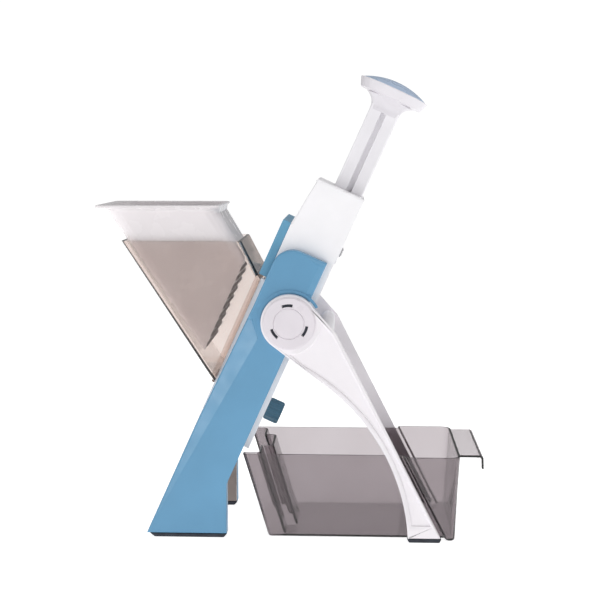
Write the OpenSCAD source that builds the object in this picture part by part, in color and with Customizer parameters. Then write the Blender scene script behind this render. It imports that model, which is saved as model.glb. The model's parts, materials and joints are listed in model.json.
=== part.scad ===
// Upright spring-plunger mandoline slicer: a leaning body on two front feet and a
// folding rear stand, a feed hopper with its food pusher, a cutting carriage that the
// top handle presses down, and a catch container that slides in under the body.
//
// Two frames are used. Side outlines are drawn in the upright plane (across = X from the
// hub, up = Z from the floor). Parts of the leaning body use n, rearward and square to
// the body, and s, up along the body, both measured from the hub axis.

/* [Stance] */
// Lean of the body back from upright, in degrees
lean = 24.3; // [24:0.1:24.6]
// Height of the hub axis above the floor
hub_z = 190; // [189:0.5:192]

/* [Body] */
// Half width across the outside of the frame's side walls
frame_half = 45; // [45:0.5:46]
// Thickness of the frame's side walls
frame_wall = 3.5; // [3.3:0.1:3.7]
// Front face of the frame, measured from the hub axis
frame_front = -37.5; // [-38:0.1:-37.4]
// Rear face of the frame, measured from the hub axis
frame_rear = 13.4; // [13.3:0.1:13.8]
// Height of the sleeve's top above the hub axis, along the body
sleeve_top = 120; // [118:1:122]
// Height of a rubber foot
pad_h = 3.5; // [3:0.5:4]

/* [Side covers] */
// Half width across the outside of the two side covers
cover_half = 56.3; // [56:0.1:56.4]
// Front edge of a cover, measured from the hub axis
cover_front = -33.6; // [-34:0.1:-33]
// Rear edge of a cover, measured from the hub axis
cover_rear = 8.6; // [8:0.1:9]
// Top edge of a cover above the hub axis
cover_top = 58.4; // [57:0.1:59]
// Radius of the rounded upper front corner
cover_round = 18; // [16:1:20]
// Rear face of a front foot, from the hub
heel_x = -54.8; // [-56:0.1:-54]

/* [Rear stand] */
// Thickness of a rear leg
leg_t = 7.5; // [7:0.1:8]
// Radius of a leg's hub
leg_hub_r = 24.2; // [24:0.1:24.4]
// Radius of the arch along the lower edge of a leg
leg_arch_r = 180; // [179:1:181]
// Radius of the hinge pins
pin_r = 5; // [4.5:0.1:5.5]

/* [Handle] */
// Radius of the handle knob's rim
knob_r = 31.4; // [31:0.1:32]
// Height of the blue dome above the rim
dome_h = 8.5; // [8:0.1:9]
// Width of the square plunger rod, front to back
rod_n = 26.4; // [26:0.1:26.6]
// Width of the plunger rod from side to side
rod_y = 24; // [22:0.5:26]
// Stroke of the handle and the cutting carriage
stroke = 70; // [65:1:70]

/* [Cutting] */
// Plane of the blade's edge, measured from the hub axis
blade_n = -35.4; // [-35.5:0.1:-35.4]
// Height of the blade's edge above the hub axis
edge_s = 10; // [9:0.5:11]
// Slice thickness at rest
slice_t = 3.3; // [3:0.1:3.5]
// Spacing of the julienne blades
comb_pitch = 9; // [8.5:0.1:9]
// Number of julienne blades on each side of the middle one
comb_side = 3; // [2:1:3]

/* [Hopper and pusher] */
// Height of the hopper's rim above the floor
rim_z = 258; // [256:1:260]
// Half width of the hopper
hopper_half = 47; // [46.8:0.1:47.5]
// Wall thickness of the hopper
hopper_wall = 2.2; // [2:0.1:2.4]
// Half width of the food pusher's body
pusher_half = 43; // [42.5:0.1:43.2]

/* [Container] */
// Height of the container
box_h = 74; // [73:0.5:75]
// Wall thickness of the container
box_wall = 2; // [1.8:0.1:2.2]
// Half width of the narrow front part at the rim, between the legs
box_narrow = 53.5; // [53:0.1:54]
// Half width of the wide rear part at the rim, behind the legs
box_wide = 61; // [60:0.1:62]

/* [Hidden] */
$fn = 96;
c = cos(lean);
v = sin(lean);
big = 400;

// Inside of the frame's side walls, and the gap that the carriage slides in
inner_half = frame_half - frame_wall;
slide_gap = 0.4;
rail_out = inner_half - slide_gap;
rail_in = 35.5;
rail_rear = 9.9;
carriage_top = 60;
carriage_low = -104;

// Openings of the frame, up the body
mouth_low = -76.5;
mouth_top = 22;
window_half = 34;
front_low = -150;
rear_low = -118;
sleeve_rear = 15.2;
sleeve_inner = 13.5;
sleeve_low = 62;
guard_front = -41;
guard_rear = -33.5;
guard_low = 25.6;
guard_top = 77;
sleeve_front_top = -27.2;

// Cover shell
cover_skin = 4;
cover_edge = 2.4;
toe_x = -121.5;
ring_in = 25.2;
ring_out = 27.6;
screw_n = -12;
screw_s = [44, -62, -150];
screw_r = 1.5;

// Stand
washer_t = 0.4;
leg_in = cover_half + washer_t;
leg_out = leg_in + leg_t;
leg_heel = 102.2;
leg_toe = 130.3;
leg_kink = [39.8, 181.1];
arch_x = -77.5;
arch_z = -7.1;
bar_at = [31, 179];
bar_r = 6.5;
cap_r = 22.5;
cap_t = 2.2;
run = 0.05;

// Handle
knob_low = sleeve_top + stroke + 9;
rim_low = knob_low + 9.5;
rim_top = rim_low + 8;
rod_top = knob_low + 6;

// Springs
spring_y = 26;
spring_r = 4;
wire_r = 0.7;
spring_low = carriage_top + 3.8;
spring_high = 110;
spring_turns = 11;
hook_r = 1.8;

// Thickness adjuster
knob_s = -88;
dial_r = 10.5;
dial_in = 14.2;
dial_out = 28;
dial_shaft = 4;
screw_end = -24.5;
bar_front = -12;
bar_rear = 9;
bar_low = -100;
bar_top = -77;
plate_front = blade_n + slice_t;
plate_t = 2.5;
plate_back = plate_front + plate_t;
plate_half = 35.2;
boss_end = -17.5;
guide_y = 25;
guide_r = 2;

// Julienne comb
comb_n = plate_back + 3.6;
comb_s = -4;
comb_r = 2;
comb_t = 0.8;

// Hopper and pusher, in the upright plane
rim_left = -145.4;
rim_right = -41.9;
seat_n = frame_front - 0.1;
seat_t = 5;
feed_low_n = -55.6;
pusher_left = -159.0;
pusher_right = -61.3;
pusher_top = 284.5;
flange_t = 4.2;
flange_left = -166.9;
flange_right = -60.4;
flange_half = 51;
left_slope = 56;
right_slope = 61.2;
pusher_wall = 2;

// Container, in the upright plane
box_front = -40.8;
box_front_low = -18.6;
box_rear = 147;
box_rear_low = 143;
box_draft = 2.5;
notch_half = 46;
notch_deep = 13.5;
groove_half = 20;
groove_deep = 23;
tab_end = 165.6;
tab_low = 62;
tab_half = 50;
tab_t = 2;

// Shift that brings the middle of the whole length to X = 0
x_shift = -(flange_left + tab_end + 2.1) / 2;

// ---- Frames and small shapes ------------------------------------------------

// A point of the leaning body, n rearward and s upward, in the upright plane
function body_pt(n, s) = [n * c + s * v, hub_z - n * v + s * c];

// A side outline as a slab from y0 to y1
module slab(y0, y1) {
    translate([x_shift, y1, 0]) rotate([90, 0, 0]) linear_extrude(y1 - y0) children();
}

// The leaning body's frame: X = n, Y = across, Z = s
module on_body() {
    translate([x_shift, 0, hub_z]) rotate([0, lean, 0]) children();
}

// The same in the upright plane, for outlines
module leaning() {
    translate([0, hub_z]) rotate(-lean) children();
}

// A box from its lowest to its highest corner
module block(low, high) {
    translate(low) cube(high - low);
}

// A rod along n, at y and s
module n_rod(r, n0, n1, y, s) {
    translate([n0, y, s]) rotate([0, 90, 0]) cylinder(r = r, h = n1 - n0);
}

// A rod across the body at n and s
module y_rod(r, y0, y1, n, s) {
    translate([n, y1, s]) rotate([90, 0, 0]) cylinder(r = r, h = y1 - y0);
}

// A rod across at a point of the upright plane
module cross_rod(r, y0, y1, at) {
    translate([x_shift + at[0], y1, at[1]]) rotate([90, 0, 0]) cylinder(r = r, h = y1 - y0);
}

// A piece and its mirror image on the other side
module both_sides() {
    children();
    mirror([0, 1, 0]) children();
}

// Everything above a height, as an outline
module above(z) {
    translate([-big, z]) square([2 * big, big]);
}

// ---- Body -------------------------------------------------------------------

// Side outline of the foot that the leaning body stands on
module foot_outline(i) {
    translate([-95, pad_h + i]) square([95 + heel_x - i, 46 - i]);
}

module wall_outline() {
    intersection() {
        above(pad_h);
        union() {
            leaning() polygon([
                [frame_front, -240], [frame_front, guard_low - 2.5], [guard_rear, guard_low - 2.5],
                [guard_rear, guard_top], [sleeve_front_top, sleeve_top], [sleeve_rear, sleeve_top],
                [sleeve_rear, sleeve_low + 2], [frame_rear, sleeve_low - 2], [frame_rear, rear_low],
                [cover_rear - cover_edge, rear_low], [cover_rear - cover_edge, -240]
            ]);
            foot_outline(0.6);
        }
    }
}

module screw_places(y) {
    for (s = screw_s) translate([screw_n, y, s]) rotate([-90, 0, 0]) children();
}

module main_frame() {
    color("whitesmoke") difference() {
        union() {
            both_sides() slab(inner_half, frame_half) wall_outline();
            on_body() {
                // front panel below the hopper, and its upper lip
                block([frame_front, -frame_half, front_low], [frame_front + 1.6, frame_half, mouth_low]);
                // rear flanges beside the slice window
                both_sides() block([10.4, window_half, rear_low], [frame_rear, frame_half, mouth_top]);
                // rear wall above the window
                block([frame_rear - 2.6, -frame_half, mouth_top - 2], [frame_rear, frame_half, sleeve_low]);
                block([sleeve_inner, -frame_half, sleeve_low - 2], [sleeve_rear, frame_half, sleeve_top]);
                // rib that carries the sleeve's rear wall down behind the rod
                block([frame_rear - 0.5, -rod_y / 2 - 3, mouth_top - 2],
                      [sleeve_rear, rod_y / 2 + 3, sleeve_low]);
                // top of the sleeve
                difference() {
                    block([-28, -frame_half, sleeve_top - 3], [sleeve_rear, frame_half, sleeve_top]);
                    block([-rod_n / 2 - 0.3, -rod_y / 2 - 0.3, sleeve_top - 4],
                          [rod_n / 2 + 0.3, rod_y / 2 + 0.3, sleeve_top + 1]);
                }
            }
            // front wall of the sleeve, which tapers towards the top
            slab(-frame_half, frame_half) leaning() polygon([
                [guard_rear, guard_top], [sleeve_front_top, sleeve_top],
                [sleeve_front_top + 2, sleeve_top], [guard_rear + 2, guard_top]
            ]);
        }
        // clearance for the rod behind the rear wall's lower part
        on_body() {
            block([10.4, -rod_y / 2 - 1, mouth_top - 3], [sleeve_inner, rod_y / 2 + 1, sleeve_low + 0.1]);
            block([sleeve_inner - 1, -2.4, sleeve_low + 2], [sleeve_rear + 1, 2.4, sleeve_low + 13]);
            both_sides() {
                screw_places(inner_half - 1) cylinder(r = screw_r + 0.1, h = 6);
                screw_places(inner_half - 1) cylinder(r = 3.1, h = 3.1);
                y_rod(pin_r, inner_half - 1, frame_half + 1, 0, 0);
                y_rod(hook_r, inner_half - 1, frame_half - 1, 0, spring_high + hook_r);
            }
        }
    }
}

// Outline of a side cover, drawn i inside its edge
module cover_outline(i) {
    intersection() {
        above(pad_h + i);
        union() {
            leaning() {
                polygon([
                    [cover_front - 3.6 + i, -260], [cover_front - 3.3 + i, -110], [cover_front + i, 0],
                    [cover_front + i, cover_top - cover_round],
                    [cover_rear - i, cover_top - cover_round], [cover_rear - i, -260]
                ]);
                translate([cover_front + cover_round, 0])
                    square([cover_rear - cover_front - cover_round - i, cover_top - i]);
                translate([cover_front + cover_round, cover_top - cover_round])
                    circle(r = cover_round - i);
            }
            foot_outline(i);
        }
    }
}

module side_cover() {
    difference() {
        union() {
            difference() {
                slab(frame_half, cover_half) cover_outline(0);
                slab(frame_half - 1, cover_half - cover_skin) cover_outline(cover_edge);
                // long bevel down the front edge of the outer face
                on_body() translate([-17.2, cover_half, -24.4]) rotate([0, 0, 12])
                    rotate([1.3, 0, 0]) rotate([90, 0, 0]) mirror([0, 0, 1]) linear_extrude(20)
                    polygon([[0, 0], [-13, 13], [-45, 13], [-45, -240], [0, -240]]);
                // wide bevels along the top edge and down the rear edge above the hub
                on_body() {
                    translate([-14, cover_half, cover_top]) rotate([0, 18, 0]) rotate([25, 0, 0])
                        cube([60, 20, 40]);
                    translate([cover_rear - 5.5, cover_half, ring_out + 0.5]) rotate([0, 0, -25])
                        cube([40, 20, 60]);
                }
            }
            on_body() {
                screw_places(frame_half) cylinder(r = 4, h = 8);
                y_rod(9, frame_half, cover_half - 2, 0, 0);
                // raised ring round the upper half of the hub
                difference() {
                    y_rod(ring_out, cover_half - 1, cover_half + 0.8, 0, 0);
                    y_rod(ring_in, cover_half - 2, cover_half + 2, 0, 0);
                    rotate([0, -lean, 0]) {
                        block([-60, 50, -60], [60, 60, 0]);
                        rotate([0, -28, 0]) block([-1, 50, -60], [60, 60, 0]);
                    }
                }
            }
        }
        on_body() {
            y_rod(pin_r, frame_half - 1, cover_half + 2, 0, 0);
            screw_places(frame_half - 1) cylinder(r = screw_r, h = 8);
        }
    }
}

module left_cover() {
    color("steelblue") mirror([0, 1, 0]) side_cover();
}

module right_cover() {
    color("steelblue") side_cover();
}

module front_guard() {
    color("steelblue") on_body() difference() {
        block([guard_front, -frame_half, guard_low], [guard_rear, frame_half, guard_top]);
        block([guard_front + 2.5, -inner_half, guard_low - 1],
              [guard_rear + 1, inner_half, guard_top - 2.5]);
    }
}

module front_foot_pads() {
    color("dimgray") both_sides() slab(inner_half, cover_half + 0.1) polygon([
        [toe_x - 1, pad_h], [heel_x + 0.3, pad_h], [heel_x - 2.7, 0], [toe_x + 3.5, 0]
    ]);
}

module hinge_pins() {
    color("silver") on_body() both_sides() y_rod(pin_r, inner_half + 0.1, leg_out - 0.4, 0, 0);
}

module leg_washers() {
    color("dimgray") on_body() both_sides() difference() {
        y_rod(12, cover_half, leg_in, 0, 0);
        y_rod(pin_r, cover_half - 1, leg_in + 1, 0, 0);
    }
}

module cover_screws() {
    color("silver") on_body() both_sides() {
        screw_places(inner_half + 0.1) cylinder(r = 3, h = 2);
        screw_places(inner_half + 2) cylinder(r = screw_r, h = 8);
    }
}

module spring_anchor_pins() {
    color("silver") on_body() both_sides()
        y_rod(hook_r, 21, frame_half - 1, 0, spring_high + hook_r);
}

// Points of a wire ring of the spring at turn t
function ring_points(t) = [
    for (k = [0:4]) let (
        a = 360 * t,
        b = 72 * k,
        r = spring_r + wire_r * cos(b),
        z = spring_low + (spring_high - spring_low - 2 * wire_r) * t / spring_turns
    ) [r * cos(a), spring_y + r * sin(a), z + wire_r + wire_r * sin(b)]
];

module one_spring() {
    rings = spring_turns * 12;
    points = [for (i = [0:rings]) each ring_points(i / 12)];
    sides = [for (i = [0:rings - 1]) for (k = [0:4]) let (m = (k + 1) % 5)
        [5 * i + k, 5 * i + m, 5 * i + 5 + m, 5 * i + 5 + k]];
    ends = [[4, 3, 2, 1, 0], [for (k = [0:4]) 5 * rings + k]];
    polyhedron(points, concat(sides, ends));
}

module return_springs() {
    color("silver") on_body() both_sides() one_spring();
}

// ---- Cutting carriage and handle --------------------------------------------

module carriage_frame() {
    color("gainsboro") on_body() difference() {
        union() {
            both_sides() block([blade_n, rail_in, carriage_low], [rail_rear, rail_out, carriage_top]);
            block([-rod_n / 2, -rail_in, 44], [rail_rear, rail_in, carriage_top]);
            block([bar_front, -rail_in, bar_low], [bar_rear, rail_in, bar_top]);
        }
        n_rod(dial_shaft + run, bar_front - 1, bar_rear + 1, 0, knob_s);
        both_sides() {
            n_rod(guide_r + run, bar_front - 1, bar_rear + 1, guide_y, knob_s);
            // lightening pockets in the outer face of each rail
            for (s = [-90, -50, -10, 30])
                block([-25, rail_out - 3, s - 12], [2, rail_out + 1, s + 18]);
        }
    }
}

module bed_plate() {
    color("whitesmoke") on_body() difference() {
        block([blade_n, -rail_in, edge_s + 7], [blade_n + 3.6, rail_in, carriage_top]);
        block([blade_n - 1, -rail_in - 1, edge_s], [blade_n + 0.7, rail_in + 1, edge_s + 15]);
        both_sides() for (y = [10, 28]) n_rod(screw_r, blade_n, blade_n + 5, y, edge_s + 11);
        // shallow drainage grooves down the face
        for (y = [-28:8:28])
            block([blade_n - 1, y - 1, edge_s + 18], [blade_n + 0.6, y + 1, carriage_top - 4]);
    }
}

module main_blade() {
    color("silver") on_body() translate([0, rail_in - 0.2, 0]) rotate([90, 0, 0])
        linear_extrude(2 * rail_in - 0.4) polygon([
            [blade_n, edge_s], [blade_n, edge_s + 15], [blade_n + 0.7, edge_s + 15],
            [blade_n + 0.7, edge_s + 3]
        ]);
}

module blade_screws() {
    color("silver") on_body() both_sides() for (y = [10, 28]) {
        n_rod(screw_r, blade_n + 0.7, blade_n + 3.6, y, edge_s + 11);
        n_rod(2.7, blade_n + 3.6, blade_n + 4.8, y, edge_s + 11);
    }
}

module plunger_rod() {
    color("whitesmoke") on_body() difference() {
        block([-rod_n / 2, -rod_y / 2, carriage_top], [rod_n / 2, rod_y / 2, rod_top]);
        both_sides() block([-2.3, rod_y / 2 - 5, carriage_top + 3], [2.3, rod_y / 2 + 1, knob_low - 5]);
        mirror([1, 0, 0]) block([rod_n / 2 - 4, -2.3, carriage_top + 3],
                                [rod_n / 2 + 1, 2.3, knob_low - 5]);
    }
}

// Points of the concave flare under the knob, as a quarter of an ellipse
function flare(k) = let (a = 90 * k / 8, low = rod_n / 2 + 0.6)
    [low + (knob_r - 1.5 - low) * (1 - cos(a)), knob_low + (rim_low - knob_low) * sin(a)];

module handle_knob() {
    color("whitesmoke") on_body() difference() {
        rotate_extrude() polygon(concat(
            [[0, knob_low]],
            [for (k = [0:8]) flare(k)],
            [[knob_r, rim_low + 1.5], [knob_r, rim_top - 1], [knob_r - 0.8, rim_top], [0, rim_top]]
        ));
        block([-rod_n / 2, -rod_y / 2, knob_low - 1], [rod_n / 2, rod_y / 2, rod_top]);
    }
}

module handle_cap() {
    dome_r = (knob_r * knob_r + dome_h * dome_h) / (2 * dome_h);
    color("steelblue") on_body() intersection() {
        translate([0, 0, rim_top + dome_h - dome_r]) sphere(r = dome_r, $fn = 192);
        translate([0, 0, rim_top]) cylinder(r = knob_r - 0.8, h = dome_h + 1);
    }
}

module spring_hook_pins() {
    color("silver") on_body() both_sides() {
        y_rod(hook_r, 21, 31, 0, spring_low - hook_r - 0.05);
        translate([0, 31, 0]) block([-2, 0, carriage_top], [2, 3, spring_low]);
    }
}

// ---- Thickness adjuster, landing plate and julienne comb ---------------------

module thickness_knob() {
    color("steelblue") on_body() difference() {
        union() {
            n_rod(dial_r - 0.8, dial_in, dial_out, 0, knob_s);
            for (a = [0:30:330]) translate([0, 0, knob_s]) rotate([a, 0, 0])
                n_rod(1.6, dial_in + 1, dial_out - 1, 0, dial_r - 1.6);
            n_rod(6, bar_rear + 0.4, dial_in, 0, knob_s);
        }
        n_rod(dial_shaft, bar_rear, dial_in + 5, 0, knob_s);
    }
}

module adjuster_screw() {
    color("silver") on_body() {
        n_rod(dial_shaft, bar_front + 0.2, dial_in + 5, 0, knob_s);
        n_rod(3, screw_end, bar_front + 0.2, 0, knob_s);
    }
}

module landing_plate() {
    color("whitesmoke") on_body() difference() {
        union() {
            block([plate_front, -plate_half, bar_low], [plate_back, plate_half, 0]);
            n_rod(7, plate_back, boss_end, 0, knob_s);
            both_sides() {
                n_rod(5, plate_back, boss_end, guide_y, knob_s);
                block([plate_back, 31.6, comb_s - 4], [comb_n + 3.6, 34.9, 0]);
            }
        }
        n_rod(3 + run, plate_back, boss_end + 1, 0, knob_s);
        both_sides() {
            n_rod(guide_r, plate_back, boss_end + 1, guide_y, knob_s);
            y_rod(comb_r + run, 31, 36, comb_n, comb_s);
        }
        for (y = [-28:8:28]) block([plate_front - 1, y - 1, -92], [plate_front + 0.6, y + 1, -6]);
    }
}

module guide_pins() {
    color("silver") on_body() both_sides() n_rod(guide_r, plate_back, 2, guide_y, knob_s);
}

module comb_shaft() {
    color("silver") on_body() y_rod(comb_r, -34.7, 34.7, comb_n, comb_s);
}

// One julienne blade: a hook that reaches forward over the landing plate's top edge
module julienne_blade(y) {
    translate([comb_n, y + comb_t / 2, comb_s]) rotate([90, 0, 0]) linear_extrude(comb_t)
        difference() {
            union() {
                circle(r = 3.4);
                polygon([
                    [-2.9, 1.5], [-3, 4.8], [-7, 4.6], [-13, 4.7],
                    [-10, 8.2], [-5, 9.5], [0, 8.2], [3, 1.5]
                ]);
            }
            circle(r = comb_r);
        }
}

module julienne_blades() {
    color("silver") on_body() for (k = [-comb_side:comb_side]) julienne_blade(k * comb_pitch);
}

module comb_lever() {
    color("steelblue") on_body() difference() {
        union() {
            y_rod(3.4, 28, 31.2, comb_n, comb_s);
            translate([comb_n, 0, comb_s]) rotate([0, -40, 0]) {
                block([0, 28.6, -1.4], [22, 30.6, 1.4]);
                y_rod(4, 28, 31.2, 23, 0);
            }
        }
        y_rod(comb_r, 27, 32, comb_n, comb_s);
    }
}

// ---- Rear stand -------------------------------------------------------------

// Outline of a rear leg; edge insets it for the panel in the outer face
module leg_outline(front, rear) {
    difference() {
        polygon([
            [-14.8 + front, 170.85 + front / 2], [43.5, 126.3], [leg_heel, pad_h],
            [leg_toe - rear, pad_h], [leg_kink[0] - rear, leg_kink[1] - rear / 2], [21, 202 - rear]
        ]);
        translate([arch_x, arch_z]) circle(r = leg_arch_r + front, $fn = 360);
    }
}

module leg() {
    difference() {
        union() {
            slab(leg_in, leg_out) leg_outline(0, 0);
            cross_rod(leg_hub_r, leg_in, leg_out, [0, hub_z]);
        }
        cross_rod(pin_r + run, leg_in - 1, leg_out + 1, [0, hub_z]);
        cross_rod(bar_r, leg_in - 1, leg_in + 4, bar_at);
        // panel let into the outer face, from the hub down to the foot
        slab(leg_out - 1.4, leg_out + 1) difference() {
            leg_outline(4.5, 3.2);
            translate([0, hub_z]) circle(r = leg_hub_r + 3);
            translate([0, 0]) square([200, 15]);
        }
    }
}

module left_leg() {
    color("white") mirror([0, 1, 0]) leg();
}

module right_leg() {
    color("white") leg();
}

module stand_crossbar() {
    color("white") cross_rod(bar_r, -leg_in - 4, leg_in + 4, bar_at);
}

module hub_caps() {
    color("white") both_sides() difference() {
        union() {
            cross_rod(cap_r, leg_out, leg_out + cap_t - 0.8, [0, hub_z]);
            cross_rod(cap_r - 0.9, leg_out, leg_out + cap_t, [0, hub_z]);
        }
        difference() {
            cross_rod(13.4, leg_out + cap_t - 0.6, leg_out + cap_t + 1, [0, hub_z]);
            cross_rod(12.6, leg_out + cap_t - 1, leg_out + cap_t + 2, [0, hub_z]);
        }
        // three curved slots
        difference() {
            cross_rod(16.6, leg_out + 0.6, leg_out + cap_t + 1, [0, hub_z]);
            cross_rod(14.2, leg_out, leg_out + cap_t + 2, [0, hub_z]);
            for (a = [155, 275, 35]) slab(leg_out - 1, leg_out + cap_t + 3)
                translate([0, hub_z]) rotate(a) polygon([[0, 0], [60, -55], [60, 55]]);
        }
    }
}

module rear_foot_pads() {
    color("dimgray") both_sides() slab(leg_in, leg_out) polygon([
        [leg_heel - 0.8, pad_h], [leg_toe + 0.8, pad_h], [leg_toe - 0.8, 0], [leg_heel + 1, 0]
    ]);
}

// ---- Hopper and food pusher ---------------------------------------------------

module hopper_outline(i) {
    polygon([
        body_pt(seat_n + 3 * i, mouth_low + 1.18 * i), body_pt(seat_n + 3 * i, mouth_top - 1.28 * i),
        body_pt(seat_n - 0.01, mouth_top - 1.28 * i),
        [rim_right - 1.63 * i, rim_z + i], [rim_left + 0.54 * i, rim_z + i],
        body_pt(seat_n - 0.01, mouth_low + 1.18 * i)
    ]);
}

module hopper() {
    color([0.6, 0.55, 0.52, 0.5]) difference() {
        union() {
            slab(-hopper_half, hopper_half) hopper_outline(0);
            // hook under the hopper, over the front panel
            on_body() block([seat_n - 3.4, -12, mouth_low - 8], [seat_n - 0.2, 12, mouth_low + 1]);
        }
        // inside, above the seat
        slab(-hopper_half + hopper_wall, hopper_half - hopper_wall) intersection() {
            hopper_outline(hopper_wall);
            leaning() translate([-big, -big]) square([big + seat_n - seat_t, 2 * big]);
        }
        // mouth through the seat
        slab(-inner_half, inner_half) hopper_outline(hopper_wall);
    }
}

// A wall line of the pusher: X at height z, for the wall through x at the pusher's top
function wall_x(x, slope, z) = x + (pusher_top - z) / tan(slope);

// Where that wall meets the plane n of the leaning body
function wall_end(x, slope, n) = let (
    d = (n - x * c + (pusher_top - hub_z) * v) / (c / tan(slope) + v)
) [x + d / tan(slope), pusher_top - d];

module pusher_outline(i, n, top) {
    left = pusher_left + 1.2 * i;
    right = pusher_right - 1.14 * i;
    polygon([
        [wall_x(left, left_slope, top), top], [wall_x(right, right_slope, top), top],
        wall_end(right, right_slope, n), wall_end(left, left_slope, n)
    ]);
}

module food_pusher() {
    color("white") difference() {
        union() {
            slab(-pusher_half, pusher_half) pusher_outline(0, feed_low_n - 3, pusher_top);
            slab(-flange_half, flange_half) polygon([
                [flange_left, pusher_top], [flange_right, pusher_top],
                [flange_right, pusher_top + flange_t], [flange_left, pusher_top + flange_t]
            ]);
        }
        slab(-pusher_half + pusher_wall, pusher_half - pusher_wall)
            pusher_outline(pusher_wall, feed_low_n - 5, pusher_top + flange_t + 1);
    }
}

// Plate with rows of gripping points under the pusher
module pusher_grip_plate() {
    low = wall_end(pusher_left, left_slope, feed_low_n);
    low_s = low[0] * v + (low[1] - hub_z) * c;
    high = wall_end(pusher_right, right_slope, feed_low_n);
    high_s = high[0] * v + (high[1] - hub_z) * c;
    color("whitesmoke") union() {
        slab(-pusher_half, pusher_half) difference() {
            pusher_outline(0, feed_low_n - 1.5, pusher_top);
            leaning() translate([-big, -big]) square([big + feed_low_n - 3, 2 * big]);
        }
        on_body() for (s = [low_s + 5:9:high_s - 4], y = [-36:9:36])
            n_rod(1.2, feed_low_n - 1.6, feed_low_n, y, s);
    }
}

// ---- Catch container ----------------------------------------------------------

// X of the rear legs' trailing edge at height z
function leg_x(z) = leg_toe - (z - pad_h) * (leg_toe - leg_kink[0]) / (leg_kink[1] - pad_h);

// X of the container's front wall at height z
function front_x(z) = box_front_low + (box_front - box_front_low) * z / box_h;

module narrow_outline(i, top) {
    polygon([
        [front_x(i) + 1.05 * i, i], [box_rear_low - i - 2, i], [box_rear - i - 2, top],
        [front_x(top) + 1.05 * i, top]
    ]);
}

module wide_outline(i, top) {
    polygon([
        [leg_x(i) + 3 + 1.12 * i, i], [box_rear_low - i, i], [box_rear - i, top],
        [leg_x(top) + 3 + 1.12 * i, top]
    ]);
}

// A bar along X whose sides draft inwards to the floor
module drafted(half, top) {
    translate([-big / 2, 0, 0]) rotate([90, 0, 90]) linear_extrude(big)
        polygon([[-half + box_draft, 0], [half - box_draft, 0], [half, top], [-half, top]]);
}

module tub(i, top) {
    intersection() {
        slab(-70, 70) narrow_outline(i, top);
        drafted(box_narrow - i, box_h);
    }
    intersection() {
        slab(-70, 70) wide_outline(i, top);
        drafted(box_wide - i, box_h);
    }
}

// Recess in the front wall that keeps clear of the body, and a deeper groove in its middle
module front_recess(g) {
    for (cut = [[notch_half, notch_deep], [groove_half, groove_deep]])
        slab(-cut[0] - g, cut[0] + g) polygon([
            [front_x(-1) - 30, -1], [front_x(-1) + cut[1] + 1.05 * g, -1],
            [front_x(big / 4) + cut[1] + 1.05 * g, big / 4], [front_x(big / 4) - 30, big / 4]
        ]);
}

module catch_container() {
    color([0.55, 0.5, 0.5, 0.5]) union() {
        difference() {
            tub(0, box_h);
            front_recess(0);
            difference() {
                tub(box_wall, box_h + 1);
                front_recess(box_wall);
            }
        }
        slab(-tab_half, tab_half) polygon([
            [box_rear - 1, box_h - tab_t], [tab_end - 1.6, box_h - tab_t], [tab_end - 0.2, box_h - 3.6],
            [tab_end + 0.2, tab_low], [tab_end + 2.1, tab_low], [tab_end + 1.7, box_h - 2.4],
            [tab_end - 0.6, box_h], [box_rear - 1, box_h]
        ]);
    }
}

// ---- Handle lock --------------------------------------------------------------

module lock_slider() {
    color("silver") on_body() union() {
        block([sleeve_rear + 0.1, -6, sleeve_low + 2], [sleeve_rear + 2.2, 6, sleeve_low + 10]);
        block([sleeve_inner + 0.1, -2, sleeve_low + 2.5], [sleeve_rear + 0.2, 2, sleeve_low + 7.5]);
        for (s = [3.6:2.2:8.2])
            block([sleeve_rear + 2.1, -5, sleeve_low + s], [sleeve_rear + 2.8, 5, sleeve_low + s + 0.9]);
    }
}

main_frame();
left_cover();
right_cover();
front_guard();
front_foot_pads();
hinge_pins();
leg_washers();
cover_screws();
spring_anchor_pins();
return_springs();
carriage_frame();
bed_plate();
main_blade();
blade_screws();
plunger_rod();
handle_knob();
handle_cap();
spring_hook_pins();
thickness_knob();
adjuster_screw();
landing_plate();
guide_pins();
comb_shaft();
julienne_blades();
comb_lever();
left_leg();
right_leg();
stand_crossbar();
hub_caps();
rear_foot_pads();
hopper();
food_pusher();
pusher_grip_plate();
catch_container();
lock_slider();
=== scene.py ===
import json
import math

import bmesh
import bpy
from mathutils import Matrix, Vector


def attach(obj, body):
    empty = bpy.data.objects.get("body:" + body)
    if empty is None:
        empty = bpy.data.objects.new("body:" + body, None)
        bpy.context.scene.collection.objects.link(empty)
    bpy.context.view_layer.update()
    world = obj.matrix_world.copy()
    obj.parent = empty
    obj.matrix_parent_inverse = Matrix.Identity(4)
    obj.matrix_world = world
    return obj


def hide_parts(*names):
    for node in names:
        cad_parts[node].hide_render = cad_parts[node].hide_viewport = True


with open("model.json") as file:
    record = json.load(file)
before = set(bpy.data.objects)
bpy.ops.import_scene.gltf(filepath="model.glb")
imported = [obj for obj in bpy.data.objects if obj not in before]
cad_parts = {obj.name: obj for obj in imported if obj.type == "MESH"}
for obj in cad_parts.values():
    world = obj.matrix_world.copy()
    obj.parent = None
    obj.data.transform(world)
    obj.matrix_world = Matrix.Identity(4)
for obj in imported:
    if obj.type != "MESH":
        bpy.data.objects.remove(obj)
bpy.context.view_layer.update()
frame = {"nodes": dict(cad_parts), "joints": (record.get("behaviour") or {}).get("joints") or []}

# ---- Main frame ---------------------------------------------------------------------
# The white channel that leans back and carries every other part. It is one injection
# moulding in satin ABS, with the sleeve for the plunger at its top. The inner face of
# each foot, low down, is coloured grey-brown as painted shade.
joints = {joint["name"]: joint for joint in frame["joints"]}
hub = Vector(joints["stand_fold"]["pos_m"])
lean_angle = math.radians(24.3)
lean = Matrix.Translation(hub) @ Matrix.Rotation(lean_angle, 4, "Y")


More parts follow.
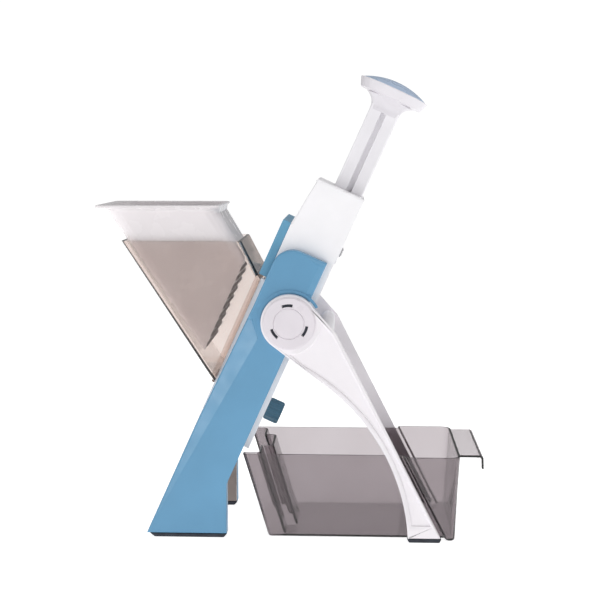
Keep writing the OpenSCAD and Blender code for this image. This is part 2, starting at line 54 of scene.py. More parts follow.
def srgb(red, green, blue):
    """A colour as a swatch gives it, turned into the shader's linear values."""

    def linear(v):
        v /= 255
        return v / 12.92 if v <= 0.04045 else ((v + 0.055) / 1.055) ** 2.4

    return linear(red), linear(green), linear(blue), 1


def shaded(colour, share):
    """A colour made lighter or darker by a share of itself."""
    return tuple(min(1, v * share) for v in colour[:3]) + (1,)


def start_material(name):
    """A new material with its node tree, its shader and the piece's own coordinates."""
    material = bpy.data.materials.new(name)
    material.use_nodes = True
    tree = material.node_tree
    place = tree.nodes.new("ShaderNodeTexCoord").outputs["Object"]
    return material, tree, tree.nodes["Principled BSDF"], place


def add_noise(tree, place, scale, detail):
    """Noise that stays with the piece."""
    noise = tree.nodes.new("ShaderNodeTexNoise")
    noise.inputs["Scale"].default_value = scale
    noise.inputs["Detail"].default_value = detail
    tree.links.new(place, noise.inputs["Vector"])
    return noise


def add_tone(tree, noise, low, high, socket):
    """Colours a socket by a noise, from low to high, each a position and a colour."""
    tone = tree.nodes.new("ShaderNodeValToRGB")
    for stop, (position, colour) in zip(tone.color_ramp.elements, (low, high)):
        stop.position = position
        stop.color = colour
    tree.links.new(noise.outputs["Fac"], tone.inputs["Fac"])
    tree.links.new(tone.outputs["Color"], socket)


def add_range(tree, value, socket, reach, span=(0, 1)):
    """Spreads the span of a value over the reach of a socket."""
    spread = tree.nodes.new("ShaderNodeMapRange")
    spread.inputs["From Min"].default_value = span[0]
    spread.inputs["From Max"].default_value = span[1]
    spread.inputs["To Min"].default_value = reach[0]
    spread.inputs["To Max"].default_value = reach[1]
    tree.links.new(value, spread.inputs["Value"])
    tree.links.new(spread.outputs["Result"], socket)


def add_bump(tree, noise, shader, strength, distance):
    """Raises the surface by a noise."""
    bump = tree.nodes.new("ShaderNodeBump")
    bump.inputs["Strength"].default_value = strength
    bump.inputs["Distance"].default_value = distance
    tree.links.new(noise.outputs["Fac"], bump.inputs["Height"])
    tree.links.new(bump.outputs["Normal"], shader.inputs["Normal"])


def moulded_plastic(name, colour, gloss=0.36, cloud=0.035, grain=0.05):
    """Pigmented moulding: clouded pigment, a painted highlight on sharp edges and a fine spark
    grain.
    """
    material, tree, shader, place = start_material(name)
    # Sharp edges, found by pointiness, are mixed towards a paler colour: a painted highlight.
    edge_highlight = tree.nodes.new("ShaderNodeMix")
    edge_highlight.data_type = "RGBA"
    edge_highlight.inputs["B"].default_value = shaded(colour, 1.22)
    tree.links.new(edge_highlight.outputs["Result"], shader.inputs["Base Color"])
    pigment = add_noise(tree, place, 34, 6)
    low, high = (0.34, shaded(colour, 1 - cloud)), (0.68, shaded(colour, 1 + cloud))
    add_tone(tree, pigment, low, high, edge_highlight.inputs["A"])
    pointed = tree.nodes.new("ShaderNodeNewGeometry").outputs["Pointiness"]
    add_range(tree, pointed, edge_highlight.inputs["Factor"], (0, 0.35), (0.52, 0.64))
    handling = add_noise(tree, place, 85, 5)
    polish = (gloss - 0.05, gloss + 0.07)
    add_range(
        tree, handling.outputs["Fac"], shader.inputs["Roughness"], polish, (0.3, 0.7)
    )
    spark = add_noise(tree, place, 2600, 2)
    add_bump(tree, spark, shader, grain, 0.0002)
    return material


def clean_shape(node):
    """A node's own faces without the seams and the flat triangles."""
    bm = bmesh.new()
    bm.from_mesh(frame["nodes"][node].data)
    bmesh.ops.remove_doubles(bm, verts=bm.verts, dist=4e-6)
    bmesh.ops.dissolve_limit(
        bm, angle_limit=math.radians(0.5), verts=bm.verts, edges=bm.edges
    )
    return bm


def round_over(bm, radius, picked, steps=4):
    """Rounds the sharp edges that are picked by their two end points."""
    edges = [
        e
        for e in bm.edges
        if e.calc_face_angle(0) > math.radians(32) and picked(*[v.co for v in e.verts])
    ]
    bmesh.ops.bevel(
        bm, geom=edges, offset=radius, segments=steps, profile=0.5, affect="EDGES"
    )


flat_area = 0.00012  # square metres from which a face is one of the piece's flats


def finish_piece(name, bm, body, nodes, material, edge=0.0005, sharp=35):
    """Puts a shape on its body, with small moulded radii and crisp creases.

    Corners sharper than the angle are rounded by edge, in metres. With edge at 0 they
    are only kept sharp.
    """
    mesh = bpy.data.meshes.new(name)
    bmesh.ops.recalc_face_normals(bm, faces=bm.faces)
    for face in bm.faces:
        face.smooth = len(face.verts) < 5
    for line in bm.edges:
        angle = math.degrees(line.calc_face_angle(0))
        flat = min((f.calc_area() for f in line.link_faces), default=0) > flat_area
        line.smooth = not (angle > sharp if not edge else flat and 4 < angle < sharp)
    bm.to_mesh(mesh)
    bm.free()
    mesh.materials.append(material)
    piece = bpy.data.objects.new(name, mesh)
    bpy.context.scene.collection.objects.link(piece)
    if edge:
        radii = piece.modifiers.new("radii", "BEVEL")
        radii.width = edge
        radii.segments = 3
        radii.limit_method = "ANGLE"
        radii.angle_limit = math.radians(sharp)
        radii.harden_normals = True
    even = piece.modifiers.new("even", "WEIGHTED_NORMAL")
    even.weight = 80
    even.keep_sharp = True
    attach(piece, body)
    if nodes:
        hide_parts(*nodes)
    return piece


white = moulded_plastic("white_abs", srgb(237, 235, 239))
sleeve_side, sleeve_foot = 0.0448, 0.262
# Top and reach of the grey-brown painted shade on the inner faces of the feet.
shade_top, shade_side = 0.05, 0.0425
shape = clean_shape("main_frame")
round_over(
    shape,
    0.0016,
    lambda a, b: min(a.y * b.y, a.y**2, b.y**2) > sleeve_side**2
    and min(a.z, b.z) > sleeve_foot,
)
bmesh.ops.bisect_plane(
    shape,
    geom=shape.verts[:] + shape.edges[:] + shape.faces[:],
    plane_co=(0, 0, shade_top),
    plane_no=(0, 0, 1),
)
shape.normal_update()
# The low inner faces of the feet take the second material, a grey-brown painted shade.
for face in shape.faces:
    middle = face.calc_center_median()
    inside = middle.z < shade_top and abs(middle.y) < shade_side
    if inside and abs(face.normal.y) > 0.9:
        face.material_index = 1
channel = finish_piece(
    "frame_channel", shape, "root", ["main_frame"], white, 0.0006
)
# Grey-brown material that paints the shade falling on the feet's inner faces.
shade_paint_feet = moulded_plastic("painted_shade_feet", srgb(140, 130, 126), gloss=0.5)
channel.data.materials.append(shade_paint_feet)

# ---- Side covers --------------------------------------------------------------------
# Two blue shells screwed on from inside. Each has a long flat bevel down its front
# edge, wide bevels above the hub, and a raised ring round the hub.
blue = moulded_plastic("blue_abs", srgb(94, 149, 185), gloss=0.33, cloud=0.03)
face_from, face_to, hub_ring = 0.0500, 0.0565, 0.029
for node, name in (("left_cover", "cover_near"), ("right_cover", "cover_far")):
    shape = clean_shape(node)
    round_over(
        shape,
        0.0012,
        lambda a, b: min(abs(a.y), abs(b.y)) > face_from
        and max(abs(a.y), abs(b.y)) < face_to
        and min((p - hub).length_squared - p.y**2 for p in (a, b)) > hub_ring**2,
        3,
    )
    finish_piece(name, shape, "root", [node], blue, 0.0003)

# ---- Front guard --------------------------------------------------------------------
# Blue plate that closes the front of the frame above the hopper. It snaps over the two
# side walls.
guard_blue = moulded_plastic("blue_abs_guard", srgb(94, 152, 184), gloss=0.3)
shape = clean_shape("front_guard")
finish_piece(
    "guard_plate", shape, "root", ["front_guard"], guard_blue, 0.0008
)


# ---- Rubber feet --------------------------------------------------------------------
# Dark pads pressed over the ends of the two front feet and the two rear legs. Moulded
# rubber with a dull skin that picks up dust.
def moulded_rubber(name):
    """Dark rubber with pale dust in its pores."""
    material, tree, shader, place = start_material(name)
    dust = add_noise(tree, place, 160, 8)
    dust.inputs["Roughness"].default_value = 0.7
    low, high = (0.4, srgb(34, 38, 48)), (0.75, srgb(62, 66, 76))
    add_tone(tree, dust, low, high, shader.inputs["Base Color"])
    add_range(tree, dust.outputs["Fac"], shader.inputs["Roughness"], (0.62, 0.85))
    add_bump(tree, dust, shader, 0.2, 0.0004)
    return material


rubber = moulded_rubber("foot_rubber")
for node, name, body in (
    ("front_foot_pads", "pads_front", "root"),
    ("rear_foot_pads", "pads_rear", "stand"),
):
    finish_piece(name, clean_shape(node), body, [node], rubber, 0.0009)


# ---- Pins, screws and springs -------------------------------------------------------
# Turned and drawn steel: hinge pins, cover screws, the pins that hold the springs, and
# the two return springs inside the sleeve.
def bright_steel(name, scale, stretch):
    """Steel with fine lines drawn along the direction that is stretched."""
    material, tree, shader, place = start_material(name)
    shader.inputs["Metallic"].default_value = 1
    turn = tree.nodes.new("ShaderNodeMapping")
    turn.inputs["Rotation"].default_value = (0, -lean_angle, 0)
    turn.inputs["Scale"].default_value = stretch
    tree.links.new(place, turn.inputs["Vector"])
    lines = add_noise(tree, turn.outputs["Vector"], scale, 4)
    low, high = (0.3, srgb(176, 179, 183)), (0.7, srgb(216, 218, 221))
    add_tone(tree, lines, low, high, shader.inputs["Base Color"])
    add_range(tree, lines.outputs["Fac"], shader.inputs["Roughness"], (0.2, 0.4))
    add_bump(tree, lines, shader, 0.15, 0.0001)
    return material


drawn_steel = bright_steel("drawn_steel", 500, (1, 0.2, 1))
for node in (
    "hinge_pins",
    "cover_screws",
    "spring_anchor_pins",
    "return_springs",
    "spring_hook_pins",
    "blade_screws",
    "adjuster_screw",
    "guide_pins",
    "comb_shaft",
):
    part = frame["nodes"][node]
    part.data.materials.clear()
    part.data.materials.append(drawn_steel)
grey = moulded_plastic("grey_nylon", srgb(168, 168, 172), gloss=0.45, cloud=0.08)
washers = frame["nodes"]["leg_washers"]
washers.data.materials.clear()
washers.data.materials.append(grey)

# ---- Cutting carriage ---------------------------------------------------------------
# The sliding part inside the frame: two rails joined by a block and a bar, the bed
# plate that the food slides over, and the steel blade clamped in it.
inner_white = moulded_plastic("white_abs_inner", srgb(228, 228, 232), gloss=0.42)
for node, name, radius in (
    ("carriage_frame", "carriage_rails", 0.0005),
    ("bed_plate", "bed_face", 0.0003),
):
    finish_piece(
        name, clean_shape(node), "plunger", [node], inner_white, radius
    )
blade_steel = bright_steel("ground_steel", 900, (1, 0.03, 1))
finish_piece(
    "blade",
    clean_shape("main_blade"),
    "plunger",
    ["main_blade"],
    blade_steel,
    0.0001,
)

# ---- Plunger rod and handle ---------------------------------------------------------
# Square white rod with a groove down its faces, a palm knob that flares out from it,
# and a shallow blue dome snapped into the knob's rim.
shape = clean_shape("plunger_rod")
upright = lean.inverted()
corner_from = 0.0118
round_over(
    shape,
    0.0016,
    lambda a, b: min(abs(p) for q in (upright @ a, upright @ b) for p in (q.x, q.y))
    > corner_from,
)
finish_piece("rod", shape, "plunger", ["plunger_rod"], white, 0.0005)


def loft(bm, rings, closed=False):
    """Skins a row of rings with equal numbers of points, with ends or as a loop."""
    rows = [[bm.verts.new(p) for p in ring] for ring in rings]
    pairs = list(zip(rows, rows[1:])) + ([(rows[-1], rows[0])] if closed else [])
    for a, b in pairs:
        for i, corner in enumerate(a):
            j = (i + 1) % len(a)
            bm.faces.new((corner, a[j], b[j], b[i]))
    if not closed:
        bm.faces.new(rows[0][::-1])
        bm.faces.new(rows[-1])


def squared_ring(half_n, half_y, square, s, points=96):
    """A ring round the rod's axis, from round at square 0 to nearly square at 1."""
    power = 2 / (2 + 8 * square)
    ring = []
    for k in range(points):
        a = math.tau * k / points
        x, y = math.cos(a), math.sin(a)
        n = half_n * math.copysign(abs(x) ** power, x)
        across = half_y * math.copysign(abs(y) ** power, y)
        ring.append(lean @ Vector((n / 1000, across / 1000, s / 1000)))
    return ring


neck_n, neck_y, neck_foot, neck_top = 13.4, 12.2, 196.5, 208.1
flare_radius, flare_steps = 28, 16
rings = [squared_ring(13.3, 12.1, 1, 194)]
for k in range(flare_steps + 1):
    a = math.radians(90 * k / flare_steps)
    flare = 1 - math.cos(a)
    rings.append(
        squared_ring(
            neck_n + (flare_radius - neck_n) * flare,
            neck_y + (flare_radius - neck_y) * flare,
            max(0, 1 - 1.7 * flare),
            neck_foot + (neck_top - neck_foot) * math.sin(a),
        )
    )
rim = [(28.6, 208.7), (30.9, 214.6), (31.3, 215.5), (31.3, 216.1), (31, 216.5)]
rim.append((30.4, 216.2))
rings += [squared_ring(radius, radius, 0, s) for radius, s in rim]
shape = bmesh.new()
loft(shape, rings)
# The knob's white is a darker copy of the white moulding: painted shade.
shaded_knob_white = moulded_plastic("white_abs_knob_painted_shade", srgb(220, 217, 222), gloss=0.32)
finish_piece(
    "knob", shape, "plunger", ["handle_knob"], shaded_knob_white, edge=0
)

dome_reach, dome_height, dome_foot, dome_steps = 30.5, 7.4, 216.4, 24
dome_radius = (dome_reach**2 + dome_height**2) / (2 * dome_height)
rings = [squared_ring(dome_reach, dome_reach, 0, s) for s in (214.5, 216.3)]
for k in range(1, dome_steps):
    a = math.asin(dome_reach / dome_radius) * (1 - k / dome_steps)
    reach = dome_radius * math.sin(a)
    top = dome_foot + dome_height - dome_radius * (1 - math.cos(a))
    rings.append(squared_ring(reach, reach, 0, top))
shape = bmesh.new()
loft(shape, rings)
# The dome's blue is lightened to stand in for the top light's reflection: a painted reflection.
lit_dome_blue = moulded_plastic("blue_abs_dome_painted_highlight", srgb(166, 184, 208), gloss=0.28)
finish_piece(
    "knob_dome", shape, "plunger", ["handle_cap"], lit_dome_blue, edge=0
)

# ---- Thickness knob -----------------------------------------------------------------
# Small ribbed blue knob on the screw at the rear of the carriage.
dial_blue = moulded_plastic("blue_abs_dial", srgb(72, 116, 140), gloss=0.4)
finish_piece(
    "dial",
    clean_shape("thickness_knob"),
    "thickness_dial",
    ["thickness_knob"],
    dial_blue,
    0.0004,
)

# ---- Landing plate and julienne comb ------------------------------------------------
# Grooved plate that sets the slice's thickness, and the steel comb behind its edge
# with a small blue lever to turn it in and out.
finish_piece(
    "landing",
    clean_shape("landing_plate"),
    "landing",
    ["landing_plate"],
    inner_white,
    0.0003,
)
finish_piece(
    "comb_blades",
    clean_shape("julienne_blades"),
    "comb",
    ["julienne_blades"],
    blade_steel,
    0.0001,
)
finish_piece(
    "comb_tab",
    clean_shape("comb_lever"),
    "comb",
    ["comb_lever"],
    dial_blue,
    0.0003,
)

# ---- Rear stand ---------------------------------------------------------------------
# Two curved white legs with a panel let into the outer face, tied by a round bar, and
# a round cap over each hinge. Dark rubber-coloured arcs under the cap's three slots
# paint the shade in the slots.
# The legs' white is a darker copy of the white moulding: painted shade.
shaded_leg_white = moulded_plastic("white_abs_leg_painted_shade", srgb(232, 228, 232))
for node, name in (("left_leg", "leg_near"), ("right_leg", "leg_far")):
    shape = clean_shape(node)
    outer = max(abs(v.co.y) for v in shape.verts)
    round_over(
        shape, 0.0014, lambda a, b: min(abs(a.y), abs(b.y)) > outer - 1e-5, 3
    )
    finish_piece(name, shape, "stand", [node], shaded_leg_white, 0.0006)
finish_piece(
    "cross_bar",
    clean_shape("stand_crossbar"),
    "stand",
    ["stand_crossbar"],
    white,
    0.0004,
)
# The caps' white is a darker copy of the white moulding: painted shade.
shaded_cap_white = moulded_plastic("white_abs_cap_painted_shade", srgb(221, 215, 221), gloss=0.3)
finish_piece(
    "hinge_caps",
    clean_shape("hub_caps"),
    "stand",
    ["hub_caps"],
    shaded_cap_white,
    0.0003,
)
# Dark arcs under the cap's slots, in the rubber colour: painted shade in the slots.
slot_middles, slot_half_angle, slot_steps = (95, 215, 335), 16, 8
ring_section = [(14.3, 64.85), (16.5, 64.85), (16.5, 65.2), (14.3, 65.2)]
shape = bmesh.new()
for side in (-1, 1):
    for middle in slot_middles:
        arc = []
        for k in range(slot_steps + 1):
            turn = slot_half_angle * (2 * k / slot_steps - 1)
            a = math.radians(middle + turn)
            out = Vector((math.cos(a), 0, math.sin(a)))
            arc.append(
                [
                    hub + out * (radius / 1000) + Vector((0, side * y / 1000, 0))
                    for radius, y in ring_section
                ]
            )
        loft(shape, arc)
finish_piece("cap_slot_shade", shape, "stand", [], rubber, edge=0)


# ---- Feed hopper --------------------------------------------------------------------
# Smoke-tinted clear chute that clips on the front of the frame. Moulded in SAN with
# polished walls, rounded corners and a lip round its mouth.
def clear_smoke(name, tint, depth, gloss=0.04):
    """Tinted clear plastic: the tint is in its depth, so that edges look darker."""
    material, tree, shader, place = start_material(name)
    shader.inputs["Transmission Weight"].default_value = 1
    shader.inputs["IOR"].default_value = 1.5
    flow = add_noise(tree, place, 24, 5)
    low, high = (0.3, (0.95, 0.94, 0.94, 1)), (0.7, (1, 1, 1, 1))
    add_tone(tree, flow, low, high, shader.inputs["Base Color"])
    polish = (gloss, gloss + 0.06)
    add_range(
        tree, flow.outputs["Fac"], shader.inputs["Roughness"], polish, (0.3, 0.8)
    )
    add_bump(tree, flow, shader, 0.04, 0.001)
    smoke = tree.nodes.new("ShaderNodeVolumeAbsorption")
    smoke.inputs["Color"].default_value = tint
    smoke.inputs["Density"].default_value = depth
    output = tree.nodes["Material Output"]
    tree.links.new(smoke.outputs["Volume"], output.inputs["Volume"])
    return material


def rounded(corners, steps=6):
    """An outline through corners given as (x, y, radius), each one rounded.

    A radius that the shorter side next to it has no room for is cut down.
    """
    points = []
    for i, (x, y, radius) in enumerate(corners):
        here = Vector((x, y))
        back = Vector(corners[i - 1][:2]) - here
        on = Vector(corners[(i + 1) % len(corners)][:2]) - here
        shorter = min(back.length, on.length)
        back.normalize()
        on.normalize()
        half = back.angle(on) / 2
        radius = min(radius, 0.48 * shorter * math.tan(half))
        centre = here + (back + on).normalized() * (radius / math.sin(half))
        start = here + back * (radius / math.tan(half)) - centre
        end = here + on * (radius / math.tan(half)) - centre
        sweep = start.angle(end)
        for k in range(steps + 1):
            a = sweep * k / steps
            arm = start * math.sin(sweep - a) + end * math.sin(a)
            points.append(centre + arm / math.sin(sweep))
    return points


def chute_ring(left, right, half, radius):
    """A rounded rectangle across a chute, from its left to its right wall."""
    across = right - left
    length = across.length
    across.normalize()
    outline = rounded(
        [
            (0, -half, radius),
            (length, -half, radius),
            (length, half, radius),
            (0, half, radius),
        ]
    )
    return [
        Vector((left.x + across.x * p.x + hub.x * 1000, p.y, left.y + across.y * p.x))
        / 1000
        for p in outline
    ]


def body_point(n, s):
    """A point of the upright plane from the leaning body's n and s, in millimetres."""
    p = Matrix.Rotation(lean_angle, 3, "Y") @ Vector((n, 0, s))
    return Vector((p.x, p.z + hub.z * 1000))


seat_n, seat_foot, seat_top, rim_z = -37.6, -76.5, 22, 258
rim_left, rim_right = Vector((-145.4, rim_z)), Vector((-41.9, rim_z))
seat_low, seat_high = body_point(seat_n, seat_foot), body_point(seat_n, seat_top)


def hopper_wall_points(wall, n):
    """Left and right wall at the plane n of the body, a wall's thickness inside.

    The walls slant, so a wall takes more than its thickness along the seat and the rim.
    """
    low = body_point(seat_n, seat_foot + 1.18 * wall)
    high = body_point(seat_n, seat_top - 1.28 * wall)
    left = rim_left + Vector((1.19 * wall, 0))
    right = rim_right - Vector((1.13 * wall, 0))
    outward = body_point(seat_n - 100, 0) - body_point(seat_n, 0)
    found = []
    for end, top in ((low, left), (high, right)):
        run = top - end
        found.append(end + run * ((seat_n - n) * 100 / run.dot(outward)))
    return found[0], found[1], left, right


hopper_wall, outer_half, inner_half, mouth_half, mouth_n = 2.2, 47, 44.8, 41.5, -42.5
inner = hopper_wall_points(hopper_wall, mouth_n)
mouth = hopper_wall_points(hopper_wall, seat_n)
shape = bmesh.new()
loft(
    shape,
    [
        chute_ring(rim_left, rim_right, outer_half, 6),
        chute_ring(seat_low, seat_high, outer_half, 3),
        chute_ring(mouth[0], mouth[1], mouth_half, 1),
        chute_ring(inner[0], inner[1], mouth_half, 1),
        chute_ring(inner[0], inner[1], inner_half, 1.6),
        chute_ring(inner[2], inner[3], inner_half, 4),
    ],
    closed=True,
)
smoke = clear_smoke("smoke_san", (0.62, 0.46, 0.38, 1), 190)
finish_piece("hopper_chute", shape, "hopper", ["hopper"], smoke, 0.0005)
clip = [(-41, -84.5), (-37.8, -84.5), (-37.8, -77), (-41, -77)]
clip_half = 12
shape = bmesh.new()
loft(
    shape,
    [
        [lean @ (Vector((n, y, s)) / 1000) for n, s in clip]
        for y in (-clip_half, clip_half)
    ],
)
finish_piece("hopper_clip", shape, "hopper", [], smoke, 0.0006)


# ---- Food pusher --------------------------------------------------------------------
# Hollow frosted white plunger for the food, with a thin wide lip to hold it by. A
# plate with rows of small points closes its lower end.
def frosted_white(name, colour):
    """Milky plastic that lets a little light into it."""
    material = moulded_plastic(name, colour, gloss=0.24, cloud=0.02, grain=0.02)
    shader = material.node_tree.nodes["Principled BSDF"]
    shader.inputs["IOR"].default_value = 1.46
    shader.inputs["Subsurface Weight"].default_value = 0.12
    shader.inputs["Subsurface Radius"].default_value = (0.002, 0.002, 0.002)
    return material


cup_top, cup_foot_n, cup_half, cup_wall = 284.5, -58.6, 43, 2
cup_left, cup_right, left_slope, right_slope = -158.2, -61.3, 56, 61.2


def cup_points(wall, n):
    """Left and right wall of the pusher at plane n, and at its top."""
    left = Vector((cup_left + 1.2 * wall, cup_top))
    right = Vector((cup_right - 1.14 * wall, cup_top))
    outward = body_point(-1, 0) - body_point(0, 0)
    found = []
    for top, slope in ((left, left_slope), (right, right_slope)):
        a = math.radians(slope)
        run = Vector((math.cos(a), -math.sin(a)))
        gap = (body_point(n, 0) - top).dot(outward) / run.dot(outward)
        found.append(top + run * gap)
    return found[0], found[1], left, right


def level_ring(z, left, right, half, radius):
    """A level ring of the pusher's lip."""
    return chute_ring(Vector((left, z)), Vector((right, z)), half, radius)


frosted = frosted_white("frosted_pp", srgb(226, 221, 223))
low, high, left, right = cup_points(0, cup_foot_n)
in_low, in_high, in_left, in_right = cup_points(cup_wall, cup_foot_n)
up = Vector((0, 1))
outer_wall = [
    chute_ring(low, high, cup_half, 11),
    chute_ring(left - up * 2.4, right - up * 2.4, cup_half, 13),
    chute_ring(left - Vector((0.6, 0.6)), right + Vector((0.3, -0.6)), 43.6, 13.5),
]
lip = [
    level_ring(285.4, -161.4, -61, 45.4, 12),
    level_ring(286.8, -166.9, -60.4, 51, 6),
    level_ring(288.5, -166.7, -60.5, 50.8, 6),
    level_ring(288.7, -160, -63, 44, 14),
]
inner_wall = [
    chute_ring(in_left + up * 3.6, in_right + up * 3.6, 41.4, 12),
    chute_ring(in_left - up, in_right - up, cup_half - cup_wall, 11.5),
    chute_ring(in_low, in_high, cup_half - cup_wall, 9),
]
shape = bmesh.new()
loft(shape, outer_wall + lip + inner_wall, closed=True)
finish_piece(
    "pusher_cup", shape, "pusher", ["food_pusher"], frosted, edge=0
)

plate_low, plate_high = cup_points(0, -58.55)[:2]
back_low, back_high = cup_points(0, -57.1)[:2]
shape = bmesh.new()
loft(
    shape,
    [
        chute_ring(plate_low, plate_high, cup_half, 11),
        chute_ring(back_low, back_high, cup_half, 11),
    ],
)
finish_piece(
    "pusher_plate",
    shape,
    "pusher",
    ["pusher_grip_plate"],
    frosted,
    edge=0,
)

pitch, margin, point_sides = 9, 6, 8
point_n, point_profile = -57.2, [(0, 2.6), (1.1, 2), (1.6, 1)]
plate_drop = plate_low.y - hub.z * 1000
plate_foot = plate_low.x * math.sin(lean_angle) + plate_drop * math.cos(lean_angle)
plate_length = (plate_high - plate_low).length
shape = bmesh.new()
for row in range(int((plate_length - margin) / pitch)):
    for column in range(-4, 5):
        foot = Vector((point_n, column * pitch, plate_foot + margin + row * pitch))
        point = []
        for height, radius in point_profile:
            ring = []
            for k in range(point_sides):
                a = math.tau * k / point_sides
                out = Vector((height, radius * math.cos(a), radius * math.sin(a)))
                ring.append(lean @ ((foot + out) / 1000))
            point.append(ring)
        loft(shape, point)
grip_grey = frosted_white("frosted_pp_points", srgb(122, 110, 110))
finish_piece("pusher_points", shape, "pusher", [], grip_grey, edge=0)


# ---- Catch container ----------------------------------------------------------------
# Smoke-tinted clear box that slides in from the rear. Its front part fits between the
# legs, its rear part is wider, and a recess in the front clears the body.
def offset_corners(corners, wall):
    """The same outline a wall's thickness inside, for corners in turning order."""
    moved = []
    for i, (x, y, radius) in enumerate(corners):
        here = Vector((x, y))
        came = (here - Vector(corners[i - 1][:2])).normalized()
        goes = (Vector(corners[(i + 1) % len(corners)][:2]) - here).normalized()
        side, other = Vector((-came.y, came.x)), Vector((-goes.y, goes.x))
        inside = here + (side + other) * (wall / (1 + side.dot(other)))
        turn = came.x * goes.y - came.y * goes.x
        moved.append((*inside, max(0.5, radius - wall) if turn > 0 else radius + wall))
    return moved


box_top, box_wall, leg_run, leg_rise = 74, 2, 90.5, 177.6


def box_ring(z, wall):
    """The container's outline at height z, a wall's thickness inside.

    It widens towards its top, and its step follows the slant of the rear legs.
    """
    share = z / box_top
    front = -18.6 - 22.2 * share
    step = 133.3 - (z - 3.5) * leg_run / leg_rise
    rear = 143 + 4 * share
    narrow, wide = 51 + 2.5 * share, 58.5 + 2.5 * share
    near = [
        (front + 23, -20, 3),
        (front + 13.5, -20, 2),
        (front + 13.5, -46, 3),
        (front, -46, 1.2),
        (front, -narrow, 3),
        (step, -narrow, 1.5),
        (step, -wide, 3),
        (rear, -wide, 9),
    ]
    far = [(x, -y, radius) for x, y, radius in reversed(near)]
    outline = rounded(offset_corners(near + far, wall), 5)
    return [Vector((p.x + hub.x * 1000, p.y, z)) / 1000 for p in outline]


def foot_of_wall(z, radius, wall, steps=5):
    """Rings that turn from the wall into the floor of the container."""
    turned = []
    for k in range(steps):
        a = math.radians(90 * k / steps)
        rise, inward = 1 - math.sin(a), 1 - math.cos(a)
        turned.append((z + radius * rise, wall + radius * inward))
    return turned


outside = [(box_top, 0), (40, 0)] + foot_of_wall(0, 2.2, 0)
inside = [(box_top, box_wall), (40, box_wall)] + foot_of_wall(box_wall, 0.4, box_wall)
rings = [box_ring(z, wall) for z, wall in reversed(outside)]
rings += [box_ring(z, wall) for z, wall in inside]
shape = bmesh.new()
loft(shape, rings)
box_smoke = clear_smoke("smoke_san_box", (0.38, 0.31, 0.34, 1), 540)
finish_piece(
    "container_box",
    shape,
    "container",
    ["catch_container"],
    box_smoke,
    0.0004,
    60,
)
tab_profile = [
    (146.6, 74),
    (164.6, 74),
    (166.6, 73.1),
    (167.3, 71.4),
    (167.7, 62),
    (165.9, 62),
    (165.5, 70.8),
    (164.8, 71.9),
    (163.8, 72.1),
    (146.6, 72.1),
]
tab_smoke = clear_smoke("smoke_san_tab", (0.46, 0.38, 0.42, 1), 300)
shape = bmesh.new()
loft(
    shape,
    [
        [Vector((x + hub.x * 1000, y, z)) / 1000 for x, z in tab_profile]
        for y in (-50, -30, 0, 30, 50)
    ],
)
finish_piece(
    "container_tab", shape, "container", [], tab_smoke, 0.0004, 60
)

# ---- Handle lock --------------------------------------------------------------------
# Small ribbed slider on the rear of the sleeve that catches the rod.
finish_piece(
    "lock_button",
    clean_shape("lock_slider"),
    "lock",
    ["lock_slider"],
    grey,
    0.0003,
)

# ---- Table, light and camera --------------------------------------------------------
# A plain white table top under soft studio light: five large panels and a pale room
# that looks white where it is seen directly or through clear plastic.
shape = bmesh.new()
bmesh.ops.create_grid(shape, x_segments=8, y_segments=8, size=6)
mesh = bpy.data.meshes.new("table_top")
shape.to_mesh(mesh)
shape.free()
table = bpy.data.objects.new("table_top", mesh)
bpy.context.scene.collection.objects.link(table)
table.location.z = -0.0002
table_paint = bpy.data.materials.new("table_paint")
table_paint.use_nodes = True
nodes, link = table_paint.node_tree.nodes, table_paint.node_tree.links.new
shader = nodes["Principled BSDF"]
shader.inputs["Roughness"].default_value = 0.6
shader.inputs["Emission Color"].default_value = (1, 1, 1, 1)
shader.inputs["Emission Strength"].default_value = 0.87
cloud = nodes.new("ShaderNodeTexNoise")
cloud.inputs["Scale"].default_value = 3
tone = nodes.new("ShaderNodeValToRGB")
tone.color_ramp.elements[0].color = (0.56, 0.56, 0.56, 1)
tone.color_ramp.elements[1].color = (0.6, 0.6, 0.6, 1)
link(cloud.outputs["Fac"], tone.inputs["Fac"])
link(tone.outputs["Color"], shader.inputs["Base Color"])
mesh.materials.append(table_paint)

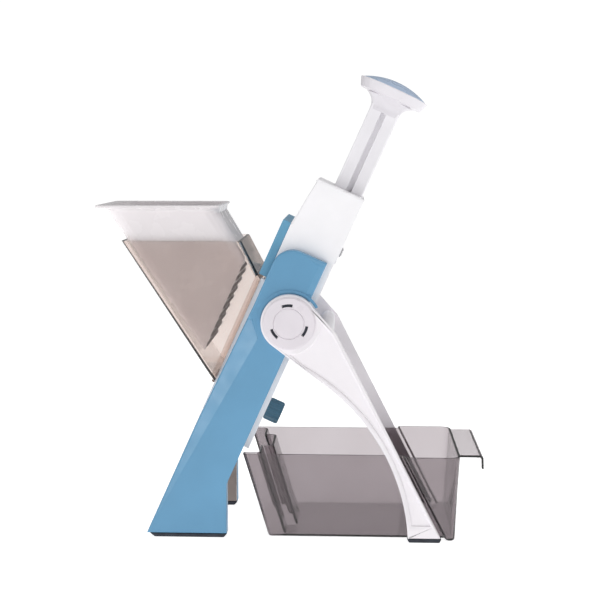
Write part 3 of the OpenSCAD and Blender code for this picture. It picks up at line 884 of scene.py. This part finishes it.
world = bpy.data.worlds.new("room")
bpy.context.scene.world = world
world.use_nodes = True
nodes, link = world.node_tree.nodes, world.node_tree.links.new
room = nodes["Background"]
room.inputs["Color"].default_value = (1, 1, 1, 1)
room.inputs["Strength"].default_value = 0.28
backdrop = nodes.new("ShaderNodeBackground")
backdrop.inputs["Color"].default_value = (1, 1, 1, 1)
backdrop.inputs["Strength"].default_value = 1.05
seen = nodes.new("ShaderNodeLightPath")
straight = nodes.new("ShaderNodeMath")
straight.operation = "MAXIMUM"
link(seen.outputs["Is Camera Ray"], straight.inputs[0])
link(seen.outputs["Is Transmission Ray"], straight.inputs[1])
either = nodes.new("ShaderNodeMixShader")
link(straight.outputs["Value"], either.inputs["Fac"])
link(room.outputs["Background"], either.inputs[1])
link(backdrop.outputs["Background"], either.inputs[2])
link(either.outputs["Shader"], nodes["World Output"].inputs["Surface"])


def panel(name, place, size, watts):
    """A soft studio light turned towards the middle of the object."""
    lamp = bpy.data.lights.new(name, "AREA")
    lamp.shape = "RECTANGLE"
    lamp.size, lamp.size_y = size
    lamp.energy = watts
    holder = bpy.data.objects.new(name, lamp)
    bpy.context.scene.collection.objects.link(holder)
    holder.location = place
    direction = Vector((0, 0, 0.19)) - Vector(place)
    holder.rotation_euler = direction.to_track_quat("-Z", "Y").to_euler()


panel("key_panel", (-0.79, -1.46, 0.3), (0.4, 0.55), 4.6)
panel("front_panel", (0.9, -1.2, 1), (0.6, 0.6), 3.4)
panel("top_panel", (0.1, 0.2, 1.7), (1.4, 1.0), 10)
panel("right_panel", (1.5, 0.1, 0.9), (0.9, 0.9), 6)
panel("left_panel", (-1.6, -0.3, 0.6), (0.9, 0.9), 5)

view = bpy.data.cameras.new("camera")
view.lens = 72.84
view.sensor_width = 36
camera = bpy.data.objects.new("camera", view)
bpy.context.scene.collection.objects.link(camera)
camera.location = (0.0524, -1.078, 0.335)
camera.rotation_euler = (math.radians(90 - 7.02), 0, math.radians(2.45))
bpy.context.scene.camera = camera
bpy.context.scene.view_settings.view_transform = "Standard"
